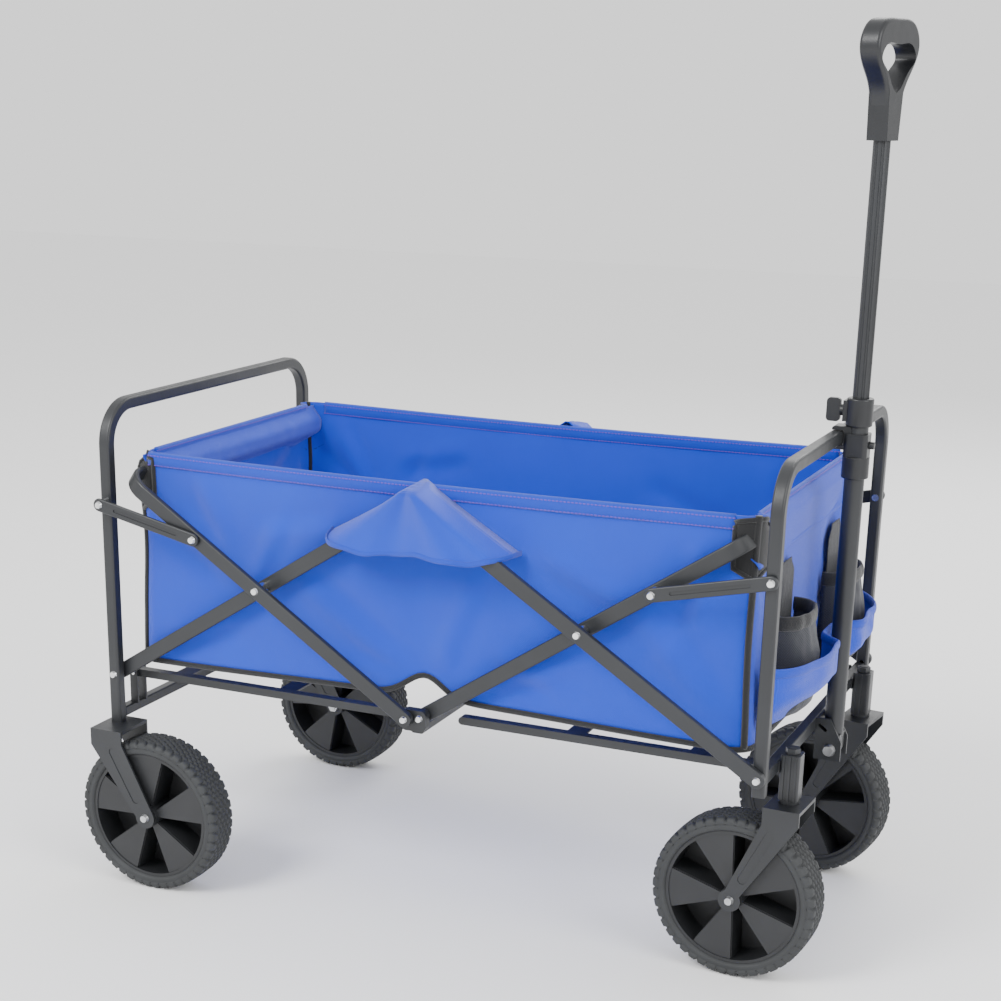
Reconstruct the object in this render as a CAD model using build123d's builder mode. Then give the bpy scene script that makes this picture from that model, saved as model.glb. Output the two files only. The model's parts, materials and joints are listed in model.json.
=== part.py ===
"""Folding utility wagon: two upright tube frames, scissor sides, fabric basket, telescopic drawbar.

Millimetres. +X is forward (the drawbar end), +Y is left, +Z is up. The origin is on the floor,
under the middle of the wagon's overall length and width. Heights below are given from a datum that
lies floor_drop above the floor; finish() raises every piece by it.
"""
from build123d import *
from math import atan2, cos, degrees, radians, sin
import os

os.makedirs("parts", exist_ok=True)

# ---- driving dimensions ---------------------------------------------------------------------
floor_drop = 3.0          # height of the datum above the floor
half_bay = 390.0          # centre of the wagon to the centre of each upright frame
rear_x = -402.0           # centre plane of the rear frame
front_x = rear_x + 2 * half_bay
middle_x = rear_x + half_bay

post = 14.0               # square tube of the upright frames
post_wall = 1.4
frame_half = 235.0        # outer face of the posts
frame_top = 570.0
frame_bend = 44.0         # centreline radius of the frame corners
rear_post_foot = 191.0
front_post_foot = 229.0

bar_depth = 17.0          # flat side of the scissor bars
bar_thick = 8.0
outer_bar_y = 236.0       # inner face of the bars that run outside the posts
inner_bar_y = 220.0       # outer face of the bars that run inside the posts
outer_gap_y = outer_bar_y + bar_thick
inner_gap_y = inner_bar_y - bar_thick

post_pivot_z = 250.0      # foot pivots of the rising bars, on the posts
cross_dx = 199.0          # post to scissor crossing, along and up
cross_dz = 127.0
center_pivot_dx = 7.0     # lower centre pivots, either side of the middle
center_pivot_z = 255.0
hoop_reach = 200.0        # crossing to the rim tube, measured along the hoop leg
hoop_bend = 26.0
link_post_z = 455.0
link_hoop_reach = 92.0    # crossing to the link pivot, measured along the hoop leg
link_width = 15.0
link_thick = 4.0
rivet_shank = 3.0
rivet_head = 4.6
running_gap = 0.05

axle_z = 89.0
wheel_radius = axle_z + floor_drop
wheel_width = 45.0
tyre_shoulder = 5.0
tyre_bore = 76.0
rim_width = 39.0
hub_radius = 13.0
hub_width = 48.0
axle_radius = 4.0
fork_half = 25.5          # inner face of the fork legs from the wheel's middle
fork_wall = 2.6
rear_axle_dx = 56.0
rear_track = 237.0        # middle of the rear wheels

swivel_dx = 16.0          # front frame to the swivel axis
swivel_track = 162.0
caster_trail = 50.0
right_caster_yaw = -3.0
left_caster_yaw = -7.0
caster_plate_z = 198.0
housing_foot = 207.0
housing_top = 257.0
housing_side = 21.0
kingpin_radius = 5.0

drawbar_x = front_x + 21.0
drawbar_pivot_z = 215.0
outer_tube_radius = 10.8
outer_tube_foot = 228.0
outer_tube_top = 575.5
inner_tube_radius = 8.8
inner_tube_foot = 553.0
socket_foot = 866.0
grip_top = 983.0
grip_turn = -14.0         # the grip stands turned a little in its tube

basket_half = 206.0
basket_rear = rear_x + 20.0
basket_front = front_x - 22.0
basket_foot = 266.0
basket_rim = 512.0
fabric = 2.0

# ---- derived places ---------------------------------------------------------------------------
rear_cross = (rear_x + cross_dx, post_pivot_z + cross_dz)
front_cross = (front_x - cross_dx, post_pivot_z + cross_dz)
top_center = (middle_x, post_pivot_z + cross_dz * half_bay / cross_dx)
rear_low = (middle_x - center_pivot_dx, center_pivot_z)
front_low = (middle_x + center_pivot_dx, center_pivot_z)
rear_axle = (rear_x + rear_axle_dx, axle_z)
swivel_x = front_x + swivel_dx


def finish(part, name):
    """Label one finished piece and write its file."""
    piece = part.part.moved(Location((0, 0, floor_drop)))
    piece.label = name
    export_step(piece, f"parts/{name}.step")


def along(start, end, distance):
    """The point at a distance from start towards end, in the XZ plane."""
    angle = atan2(end[1] - start[1], end[0] - start[0])
    return (start[0] + distance * cos(angle), start[1] + distance * sin(angle))


def side_plane(side, y):
    """A plane at y on one side whose normal points outwards; its sketch X may run backwards."""
    return Plane(origin=(0, side * y, 0), x_dir=(-side, 0, 0), z_dir=(0, side, 0))


def on_side(side, point):
    """Sketch coordinates on side_plane of a point given as (x, z)."""
    return (-side * point[0], point[1])


rear_hoop_top = along(rear_cross, rear_low, -hoop_reach)
front_hoop_top = along(front_cross, front_low, -hoop_reach)
rear_link_hoop = along(rear_cross, rear_low, -link_hoop_reach)
front_link_hoop = along(front_cross, front_low, -link_hoop_reach)
rear_link_post = (rear_x, link_post_z)
front_link_post = (front_x, link_post_z)
rear_foot = (rear_x, post_pivot_z)
front_foot = (front_x, post_pivot_z)


# ---- upright frames -----------------------------------------------------------------------------
def upright_frame(name, x, foot):
    """One square tube bent into an upside-down U: two posts and the push bar."""
    post_y = frame_half - post / 2
    top_z = frame_top - post / 2
    with BuildPart() as frame:
        with BuildLine(Plane.YZ.offset(x)) as path:
            FilletPolyline((-post_y, foot), (-post_y, top_z), (post_y, top_z), (post_y, foot),
                           radius=frame_bend)
        with BuildSketch(Plane(origin=(x, -post_y, foot), x_dir=(1, 0, 0), z_dir=(0, 0, 1))):
            RectangleRounded(post, post, 3)
            RectangleRounded(post - 2 * post_wall, post - 2 * post_wall, 1.6, mode=Mode.SUBTRACT)
        sweep(path=path.wires()[0])
        for side in (-1, 1):
            with BuildSketch(side_plane(side, frame_half + 1)):
                with Locations(on_side(side, (x, post_pivot_z)), on_side(side, (x, link_post_z))):
                    Circle(rivet_shank + running_gap)
            extrude(amount=-post - 2, mode=Mode.SUBTRACT)
    finish(frame, name)


def cross_tube(name, x, z, depth, height, half_length, lugs=(), pin=None):
    """A straight tube between the two sides, with small welded lugs for the floor rails."""
    with BuildPart() as tube:
        with BuildSketch(Plane.XZ.offset(-half_length)):
            with Locations((x, z)):
                RectangleRounded(depth, height, 2)
                RectangleRounded(depth - 3, height - 3, 1, mode=Mode.SUBTRACT)
        extrude(amount=2 * half_length)
        for lug_box in lugs:
            low, high = lug_box
            for side in (-1, 1):
                for y in (rail_y - 8.5, rail_y + 8.5):
                    with Locations(((low[0] + high[0]) / 2, side * y, (low[1] + high[1]) / 2)):
                        Box(high[0] - low[0], 3, high[1] - low[1])
        if pin:
            with BuildSketch(Plane.XZ.offset(-half_length)):
                with Locations(pin):
                    Circle(2.05)
            extrude(amount=2 * half_length, mode=Mode.SUBTRACT)
    finish(tube, name)


# ---- rivets -------------------------------------------------------------------------------------
def rivet_group(name, rivets):
    """Domed rivets of one body, on both sides; each is (place, inner y, outer y, spacer or None)."""
    with BuildPart() as group:
        for side in (-1, 1):
            for place, inner, outer, spacer in rivets:
                with BuildSketch(side_plane(side, inner - 1.5)):
                    with Locations(on_side(side, place)):
                        Circle(rivet_shank)
                extrude(amount=outer - inner + 2.5)
                with BuildSketch(side_plane(side, outer + 0.2)):
                    with Locations(on_side(side, place)):
                        Circle(rivet_head)
                extrude(amount=2.4, taper=28)
                with BuildSketch(side_plane(side, inner - 0.2)):
                    with Locations(on_side(side, place)):
                        Circle(rivet_head - 0.4)
                extrude(amount=-1.6)
                if spacer:
                    with BuildSketch(side_plane(side, spacer[0])):
                        with Locations(on_side(side, place)):
                            Circle(6.0)
                    extrude(amount=spacer[1] - spacer[0])
    finish(group, name)


def link_stubs(name, place, inner, sleeve):
    """The rivets at the hoop end of a pair of links, with a sleeve that stands in to the hoop."""
    with BuildPart() as stubs:
        for side in (-1, 1):
            with BuildSketch(side_plane(side, inner)):
                with Locations(on_side(side, place)):
                    Circle(rivet_shank)
            extrude(amount=link_thick + 1)
            with BuildSketch(side_plane(side, inner + link_thick + 0.2)):
                with Locations(on_side(side, place)):
                    Circle(rivet_head)
            extrude(amount=2.4, taper=28)
            if sleeve:
                with BuildSketch(side_plane(side, inner)):
                    with Locations(on_side(side, place)):
                        Circle(6.0)
                extrude(amount=-sleeve)
    finish(stubs, name)


# ---- scissor bars -------------------------------------------------------------------------------
def straight_bar(name, side, start, end, inner, depth, thick, holes, groove=0.0):
    """A flat bar with round ends on its pivots, drilled for its rivets."""
    with BuildPart() as bar:
        with BuildSketch(side_plane(side, inner)):
            a = Vector(*on_side(side, start))
            b = Vector(*on_side(side, end))
            middle = (a + b) / 2
            lie = Location((middle.X, middle.Y, 0), (0, 0, degrees(atan2(b.Y - a.Y, b.X - a.X))))
            with Locations(lie):
                SlotCenterToCenter((b - a).length, depth)
        extrude(amount=thick)
        fillet(bar.edges().group_by(Axis.Y)[0] + bar.edges().group_by(Axis.Y)[-1], min(1.6, thick * 0.4))
        if groove:
            with BuildSketch(side_plane(side, inner + thick)):
                with Locations(lie):
                    SlotCenterToCenter((b - a).length - 44, 4)
            extrude(amount=-groove, mode=Mode.SUBTRACT)
        with BuildSketch(side_plane(side, inner - 1)):
            with Locations([on_side(side, hole) for hole in holes]):
                Circle(rivet_shank + running_gap)
        extrude(amount=thick + 2, mode=Mode.SUBTRACT)
    finish(bar, name)


def hoop(name, pivot, top, middle_y, holes):
    """One flat tube: up one side, across under the basket rim, and down the other side."""
    length = (Vector(*top) - Vector(*pivot)).length
    direction = ((top[0] - pivot[0]) / length, 0, (top[1] - pivot[1]) / length)
    lie = Plane(origin=(pivot[0], 0, pivot[1]), x_dir=direction, z_dir=(-direction[2], 0, direction[0]))
    with BuildPart() as bar:
        with BuildLine(lie) as path:
            FilletPolyline((0, -middle_y), (length, -middle_y), (length, middle_y), (0, middle_y),
                           radius=hoop_bend)
        with BuildSketch(Plane(origin=(pivot[0], -middle_y, pivot[1]), x_dir=(0, 1, 0), z_dir=direction)):
            RectangleRounded(bar_thick, bar_depth, 2.2)
        sweep(path=path.wires()[0])
        for side in (-1, 1):
            with BuildSketch(side_plane(side, middle_y - bar_thick / 2)):
                with Locations(on_side(side, pivot)):
                    Circle(bar_depth / 2)
            extrude(amount=bar_thick)
            with BuildSketch(side_plane(side, middle_y - bar_thick)):
                with Locations([on_side(side, hole) for hole in holes]):
                    Circle(rivet_shank + running_gap)
            extrude(amount=2 * bar_thick, mode=Mode.SUBTRACT)
    finish(bar, name)


def center_bracket(name):
    """Plates under the basket that carry both hoops' feet, with a mid-width tube between them."""
    with BuildPart() as brackets:
        for side in (-1, 1):
            with BuildSketch(side_plane(side, 222.5)):
                with Locations(on_side(side, (middle_x, center_pivot_z - 3))):
                    RectangleRounded(30, 24, 6)
                with Locations(on_side(side, rear_low), on_side(side, front_low)):
                    Circle(rivet_shank + running_gap, mode=Mode.SUBTRACT)
            extrude(amount=11)
    finish(brackets, name)


# ---- wheels -------------------------------------------------------------------------------------
def wheel_plane(center, yaw, side):
    """A plane through the wheel's middle with Z up the sketch and its normal out of the wagon."""
    turn = radians(yaw)
    return Plane(
        origin=center,
        x_dir=(-side * cos(turn), -side * sin(turn), 0),
        z_dir=(-side * sin(turn), side * cos(turn), 0),
    )


def rim(name, plane, phase):
    """Moulded wheel: barrel, hub, five outer and five inner spoke plates with webs between."""
    plate_at = rim_width / 2 - 3
    with BuildPart() as wheel:
        with BuildSketch(plane.offset(-rim_width / 2)):
            Circle(tyre_bore - 0.1)
            Circle(tyre_bore - 3.6, mode=Mode.SUBTRACT)
        extrude(amount=rim_width)
        with BuildSketch(plane.offset(-hub_width / 2)):
            Circle(hub_radius)
        extrude(amount=hub_width)
        with BuildSketch(plane.offset(-plate_at)):
            with PolarLocations(0, 10, start_angle=phase + 18):
                Rectangle(tyre_bore - 2, 1.8, align=(Align.MIN, Align.CENTER))
        extrude(amount=2 * plate_at)
        for level, turn in ((plate_at, 0), (-plate_at - 2, 36)):
            with BuildSketch(plane.offset(level)):
                with PolarLocations(0, 5, start_angle=phase + turn):
                    Polygon((0, 0), (90, -29.3), (90, 29.3), align=None)
                Circle(tyre_bore - 2, mode=Mode.INTERSECT)
            extrude(amount=2)
        with BuildSketch(plane.offset(-hub_width)):
            Circle(axle_radius + running_gap)
        extrude(amount=2 * hub_width, mode=Mode.SUBTRACT)
    finish(wheel, name)


def tyre(name, plane):
    """Solid tyre with rounded shoulders."""
    with BuildPart() as body:
        with BuildSketch(plane.offset(-wheel_width / 2)):
            Circle(wheel_radius)
        extrude(amount=wheel_width)
        fillet(body.edges().filter_by(GeomType.CIRCLE), tyre_shoulder)
        with BuildSketch(plane.offset(-wheel_width)):
            Circle(tyre_bore)
        extrude(amount=2 * wheel_width, mode=Mode.SUBTRACT)
    finish(body, name)


def axle_bolts(name, planes):
    """Hex-headed axle bolts with their nuts, each through both legs of its fork."""
    grip = fork_half + fork_wall
    with BuildPart() as bolts:
        for plane in planes:
            with BuildSketch(plane.offset(-grip - 8)):
                Circle(axle_radius)
            extrude(amount=2 * grip + 10)
            with BuildSketch(plane.offset(grip + 0.05)):
                Circle(5.4)
            extrude(amount=3.6, taper=22)
            with BuildSketch(plane.offset(-grip - 0.05)):
                RegularPolygon(7.0, 6)
            extrude(amount=-5.5)
    finish(bolts, name)


def fork(name, plane, top_low_x, top_high_x, axle_x, plate_z, bore):
    """A pressed steel fork: top plate, two tapered legs with a long embossed recess."""
    plate_thick = 4.0
    wide = fork_half + fork_wall
    top_middle = (top_low_x + top_high_x) / 2
    leg_side = 1 if plane.x_dir.X > 0 else -1
    with BuildPart() as piece:
        for face in (-wide, fork_half):
            with BuildSketch(plane.offset(face)):
                with BuildLine():
                    Polyline(
                        (leg_side * top_low_x, plate_z + plate_thick),
                        (leg_side * top_high_x, plate_z + plate_thick),
                        (leg_side * top_high_x, plate_z - 12),
                        (leg_side * (axle_x + 11), axle_z + 6),
                        (leg_side * (axle_x - 11), axle_z - 2),
                        (leg_side * top_low_x, plate_z - 16),
                        close=True,
                    )
                make_face()
                with Locations((leg_side * axle_x, axle_z)):
                    Circle(12.5)
            extrude(amount=fork_wall)
        with BuildSketch(plane.offset(-wide)):
            with Locations((leg_side * top_middle, plate_z + plate_thick / 2)):
                Rectangle(top_high_x - top_low_x, plate_thick)
        extrude(amount=2 * wide)
        for face in (wide - 0.7, -wide):
            with BuildSketch(plane.offset(face)):
                leg = (axle_x - top_middle, axle_z - plate_z + 6)
                with Locations(Location(
                    (leg_side * (top_middle + leg[0] * 0.47), plate_z - 6 + leg[1] * 0.47, 0),
                    (0, 0, degrees(atan2(leg[1], leg_side * leg[0]))),
                )):
                    SlotCenterToCenter(62, 10)
            extrude(amount=0.7, mode=Mode.SUBTRACT)
        with BuildSketch(plane.offset(-2 * wide)):
            with Locations((leg_side * axle_x, axle_z)):
                Circle(axle_radius + 0.05)
        extrude(amount=4 * wide, mode=Mode.SUBTRACT)
        if bore:
            with BuildSketch(Plane(origin=plane.origin + Vector(0, 0, plate_z - 5))):
                Circle(bore)
            extrude(amount=20, mode=Mode.SUBTRACT)
    finish(piece, name)


# ---- build: upright frames and lower cross tubes ------------------------------------------------
rail_y = 190.0
rail_pivot_rear = (rear_x + 4.0, 243.0)
rail_pivot_front = (front_x - 18.0, 247.0)
rail_width = 12.0
rail_height = 9.0
front_tube_x = front_x - 2.0
front_tube_z = 243.0

upright_frame("rear_frame", rear_x, rear_post_foot)
upright_frame("front_frame", front_x, front_post_foot)
cross_tube("rear_cross_tube", rear_x, 201.0, 12.0, 12.0, frame_half - post - 0.2,
           [((rear_x - 1, 206.0), (rear_x + 9, 248.0))], rail_pivot_rear)
cross_tube("front_cross_tube", front_tube_x, front_tube_z, 12.0, 14.0, frame_half - post - 0.2,
           [((front_x - 23, 242.0), (front_x - 7, 252.0))], rail_pivot_front)

# ---- build: scissor sides -------------------------------------------------------------------------
for side, hand in ((-1, "right"), (1, "left")):
    straight_bar(f"rear_rising_bar_{hand}", side, rear_foot, top_center, inner_gap_y,
                 bar_depth, bar_thick, (rear_foot, rear_cross, top_center))
    straight_bar(f"front_falling_bar_{hand}", side, top_center, front_foot, outer_bar_y,
                 bar_depth, bar_thick, (top_center, front_cross, front_foot))
    straight_bar(f"rear_link_{hand}", side, rear_link_post, rear_link_hoop, outer_gap_y + 1.0,
                 link_width, link_thick, (rear_link_post, rear_link_hoop), groove=0.9)
    straight_bar(f"front_link_{hand}", side, front_link_post, front_link_hoop, outer_bar_y,
                 link_width, link_thick, (front_link_post, front_link_hoop), groove=0.9)

hoop("rear_hoop", rear_low, rear_hoop_top, outer_bar_y + bar_thick / 2, (rear_low, rear_cross))
hoop("front_hoop", front_low, front_hoop_top, inner_bar_y - bar_thick / 2, (front_low, front_cross))
center_bracket("center_brackets")
cross_tube("center_cross_tube", middle_x, 239.0, 14.0, 10.0, 222.0)

rear_link_y = outer_gap_y + 1.0
link_spacer = (frame_half + 0.2, rear_link_y - 0.2)
rivet_group("rear_post_rivets", (
    (rear_foot, inner_gap_y, frame_half, None),
    (rear_link_post, frame_half - post, rear_link_y + link_thick, link_spacer),
))
rivet_group("front_post_rivets", (
    (front_foot, frame_half - 3.0, outer_gap_y, None),
    (front_link_post, frame_half - post, outer_bar_y + link_thick, None),
))
crossing_spacer = (inner_bar_y + 0.2, outer_bar_y - 0.2)
rivet_group("rear_crossing_rivets", ((rear_cross, inner_gap_y, outer_gap_y, crossing_spacer),))
rivet_group("front_crossing_rivets", ((front_cross, inner_gap_y, outer_gap_y, crossing_spacer),))
rivet_group("center_rivets", (
    (rear_low, 222.5, outer_gap_y, None),
    (front_low, inner_gap_y, 233.5, None),
))
link_stubs("rear_link_rivets", rear_link_hoop, rear_link_y, 0)
link_stubs("front_link_rivets", front_link_hoop, outer_bar_y, outer_bar_y - inner_bar_y - 0.8)

with BuildPart() as top_pins:
    for side in (-1, 1):
        with BuildSketch(side_plane(side, inner_gap_y - 2)):
            with Locations(on_side(side, top_center)):
                Circle(rivet_shank)
        extrude(amount=16)
        with BuildSketch(side_plane(side, inner_bar_y + 0.2)):
            with Locations(on_side(side, top_center)):
                Circle(7)
                Circle(rivet_shank, mode=Mode.SUBTRACT)
        extrude(amount=outer_bar_y - inner_bar_y - 1.4)
finish(top_pins, "top_center_pins")


# ---- build: floor rails ---------------------------------------------------------------------------
def floor_rails(name, pivot, reach, strap_x, foot_z):
    """Two flat rails under the basket floor, joined by a cross strap, hinged at one frame."""
    direction = 1 if reach > 0 else -1
    with BuildPart() as rails:
        for side in (-1, 1):
            with BuildSketch(Plane.XZ.offset(-side * rail_y - rail_width / 2)):
                with Locations((pivot[0] + reach / 2, pivot[1])):
                    SlotOverall(abs(reach) + rail_height, rail_height)
                with Locations(pivot):
                    Circle(2.05, mode=Mode.SUBTRACT)
            extrude(amount=rail_width)
        with BuildSketch(Plane.XZ.offset(-rail_y + rail_width / 2)):
            with Locations((strap_x, foot_z)):
                RectangleRounded(22, 3, 1)
        extrude(amount=2 * rail_y - rail_width)
        with Locations((pivot[0] + direction * 60, 0, foot_z)):
            Box(22, 2 * rail_y - rail_width, 3)
    finish(rails, name)


floor_rails("rear_floor_rails", rail_pivot_rear, 350.0, rail_pivot_rear[0] + 200, 245.0)
floor_rails("front_floor_rails", rail_pivot_front, -330.0, rail_pivot_front[0] - 200, 249.0)

with BuildPart() as rear_rail_pins:
    for side in (-1, 1):
        with BuildSketch(Plane.XZ.offset(-side * rail_y - 11)):
            with Locations(rail_pivot_rear):
                Circle(2.0)
        extrude(amount=22)
finish(rear_rail_pins, "rear_rail_pins")
with BuildPart() as front_rail_pins:
    for side in (-1, 1):
        with BuildSketch(Plane.XZ.offset(-side * rail_y - 11)):
            with Locations(rail_pivot_front):
                Circle(2.0)
        extrude(amount=22)
finish(front_rail_pins, "front_rail_pins")

# ---- build: rear wheels and their fixed forks -----------------------------------------------------
axle_bolts("rear_axle_bolts", [
    wheel_plane((rear_axle[0], side * rear_track, axle_z), 0, side) for side in (-1, 1)
])

for side, hand, phase in ((-1, "right", 20), (1, "left", 47)):
    hub = wheel_plane((rear_axle[0], side * rear_track, axle_z), 0, side)
    under_post = wheel_plane((rear_x, side * rear_track, 0), 0, side)
    fork(f"rear_fork_{hand}", under_post, -15.0, 27.0, rear_axle_dx, 187.0, None)
    rim(f"rear_rim_{hand}", hub, phase)
    tyre(f"rear_tyre_{hand}", hub)

# ---- build: front casters ---------------------------------------------------------------------------
for side, hand, yaw, phase in ((-1, "right", right_caster_yaw, 38), (1, "left", left_caster_yaw, 10)):
    turn = radians(yaw)
    hub_center = (
        swivel_x - caster_trail * cos(turn),
        side * swivel_track - caster_trail * sin(turn),
        axle_z,
    )
    hub = wheel_plane(hub_center, yaw, side)
    swivel = wheel_plane((swivel_x, side * swivel_track, 0), yaw, side)
    fork(f"caster_fork_{hand}", swivel, -20.0, 20.0, -caster_trail, caster_plate_z, kingpin_radius + 0.05)
    with BuildPart() as kingpin:
        with BuildSketch(Plane(origin=(swivel_x, side * swivel_track, caster_plate_z - 4))):
            RegularPolygon(8.5, 6)
        extrude(amount=3.9)
        with BuildSketch(Plane(origin=(swivel_x, side * swivel_track, caster_plate_z - 1))):
            Circle(kingpin_radius)
        extrude(amount=housing_top + 8 - caster_plate_z)
        with BuildSketch(Plane(origin=(swivel_x, side * swivel_track, housing_top + 0.3))):
            RegularPolygon(8.0, 6)
        extrude(amount=6)
        with BuildSketch(Plane(origin=(swivel_x, side * swivel_track, caster_plate_z + 4.1))):
            Circle(11)
        extrude(amount=housing_foot - caster_plate_z - 4.3)
    finish(kingpin, f"caster_kingpin_{hand}")
    axle_bolts(f"caster_axle_{hand}", [hub])
    rim(f"front_rim_{hand}", hub, phase)
    tyre(f"front_tyre_{hand}", hub)
    with BuildPart() as housing:
        with BuildSketch(Plane(origin=(swivel_x, side * swivel_track, housing_foot))):
            RectangleRounded(housing_side, housing_side, 3)
            with GridLocations(0, housing_side, 1, 2):
                with GridLocations(6.5, 0, 3, 1):
                    Rectangle(2.4, 2.4)
            Circle(kingpin_radius + running_gap, mode=Mode.SUBTRACT)
        extrude(amount=housing_top - housing_foot)
        with Locations((front_x + 4.85, side * swivel_track, front_tube_z)):
            Box(1.5, housing_side, 13)
    finish(housing, f"caster_housing_{hand}")

# ---- build: drawbar ---------------------------------------------------------------------------------
with BuildPart() as drawbar_bracket:
    for side in (-1, 1):
        with BuildSketch(Plane.XZ.offset(-side * 15.0 - 1.5)):
            with BuildLine():
                Polyline(
                    (front_x + 4.1, 251.0), (front_x + 20.0, 251.0), (drawbar_x + 13.0, 225.0),
                    (drawbar_x + 13.0, 203.0), (front_x + 4.1, 203.0), close=True,
                )
            make_face()
            with Locations((drawbar_x, drawbar_pivot_z)):
                Circle(4.05, mode=Mode.SUBTRACT)
            with Locations(Location((front_x + 12, 240, 0), (0, 0, -35))):
                SlotOverall(12, 4, mode=Mode.SUBTRACT)
        extrude(amount=3.0)
    with Locations((front_x + 5.6, 0, 227)):
        Box(3.0, 28.0, 48.0)
finish(drawbar_bracket, "drawbar_bracket")

with BuildPart() as drawbar_bolt:
    with BuildSketch(Plane.XZ.offset(-23)):
        with Locations((drawbar_x, drawbar_pivot_z)):
            Circle(4.0)
    extrude(amount=44)
    with BuildSketch(Plane.XZ.offset(16.6)):
        with Locations((drawbar_x, drawbar_pivot_z)):
            Circle(7.5)
    extrude(amount=5, taper=20)
    with BuildSketch(Plane.XZ.offset(-22.6)):
        with Locations((drawbar_x, drawbar_pivot_z)):
            RegularPolygon(7.5, 6)
    extrude(amount=6)
finish(drawbar_bolt, "drawbar_bolt")

with BuildPart() as outer_tube:
    with BuildSketch(Plane(origin=(drawbar_x, 0, outer_tube_foot))):
        Circle(outer_tube_radius)
        Circle(inner_tube_radius + 0.6, mode=Mode.SUBTRACT)
    extrude(amount=outer_tube_top - outer_tube_foot)
    with BuildSketch(Plane.XZ.offset(-12.0)):
        with Locations((drawbar_x, drawbar_pivot_z + 8)):
            Rectangle(20, 18)
        with Locations((drawbar_x, drawbar_pivot_z)):
            Circle(10.0)
        with Locations((drawbar_x, drawbar_pivot_z)):
            Circle(4.05, mode=Mode.SUBTRACT)
    extrude(amount=24)
finish(outer_tube, "drawbar_outer_tube")

with BuildPart() as inner_tube:
    with BuildSketch(Plane(origin=(drawbar_x, 0, inner_tube_foot))):
        Circle(inner_tube_radius)
        with PolarLocations(inner_tube_radius + 0.6, 8, start_angle=22.5):
            Circle(1.7, mode=Mode.SUBTRACT)
        Circle(inner_tube_radius - 2.4, mode=Mode.SUBTRACT)
    extrude(amount=socket_foot + 24 - inner_tube_foot)
finish(inner_tube, "drawbar_inner_tube")

clip_z = frame_top - post / 2
knob_z = outer_tube_top + 16.0
button_z = 556.0
with BuildPart() as lower_collar:
    with BuildSketch(Plane(origin=(drawbar_x, 0, 520))):
        Circle(14.5)
    extrude(amount=24)
    fillet(lower_collar.edges().filter_by(GeomType.CIRCLE), 1.5)
    with BuildSketch(Plane(origin=(drawbar_x, 0, 543))):
        RectangleRounded(26, 24, 5)
    extrude(amount=25)
    with BuildSketch(Plane.XZ.offset(-10)):
        with Locations((front_x + 5.5, clip_z)):
            RectangleRounded(21, 24.8, 3)
        with Locations((front_x - 2.0, clip_z)):
            Rectangle(20, post + 2.4, mode=Mode.SUBTRACT)
    extrude(amount=20)
    with BuildSketch(Plane(origin=(drawbar_x, 0, 500))):
        Circle(outer_tube_radius + 0.05)
    extrude(amount=100, mode=Mode.SUBTRACT)
    with BuildSketch(Plane.YZ.offset(drawbar_x + 11.1)):
        with Locations((0, button_z)):
            Circle(4.3)
    extrude(amount=10, mode=Mode.SUBTRACT)
finish(lower_collar, "drawbar_lower_collar")

with BuildPart() as button:
    with BuildSketch(Plane.YZ.offset(drawbar_x + 12.4)):
        with Locations((0, button_z)):
            Circle(4.0)
    extrude(amount=6.4)
    fillet(button.edges().group_by(Axis.X)[-1], 1.2)
finish(button, "lock_button")

with BuildPart() as clamp:
    with BuildSketch(Plane(origin=(drawbar_x, 0, outer_tube_top))):
        Circle(14.2)
    extrude(amount=30)
    fillet(clamp.edges().filter_by(GeomType.CIRCLE), 1.8)
    with Locations((drawbar_x - 13.2, 0, knob_z)):
        Box(7, 15, 22)
    with BuildSketch(Plane(origin=(drawbar_x, 0, 560))):
        Circle(inner_tube_radius + 0.08)
    extrude(amount=60, mode=Mode.SUBTRACT)
    with BuildSketch(Plane.YZ.offset(drawbar_x - 25)):
        with Locations((0, knob_z)):
            Circle(2.55)
    extrude(amount=16.8, mode=Mode.SUBTRACT)
finish(clamp, "drawbar_clamp")

with BuildPart() as knob:
    with BuildSketch(Plane.YZ.offset(drawbar_x - 30)):
        with Locations((0, knob_z)):
            Circle(2.5)
    extrude(amount=20.6)
    with BuildSketch(Plane.YZ.offset(drawbar_x - 20.5)):
        with Locations((0, knob_z)):
            Circle(6)
    extrude(amount=3.3)
    with BuildSketch(Plane.XZ.offset(-2.6)):
        with Locations((drawbar_x - 28.0, knob_z)):
            RectangleRounded(15, 25, 4)
    extrude(amount=5.2)
finish(knob, "clamp_knob")

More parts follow.
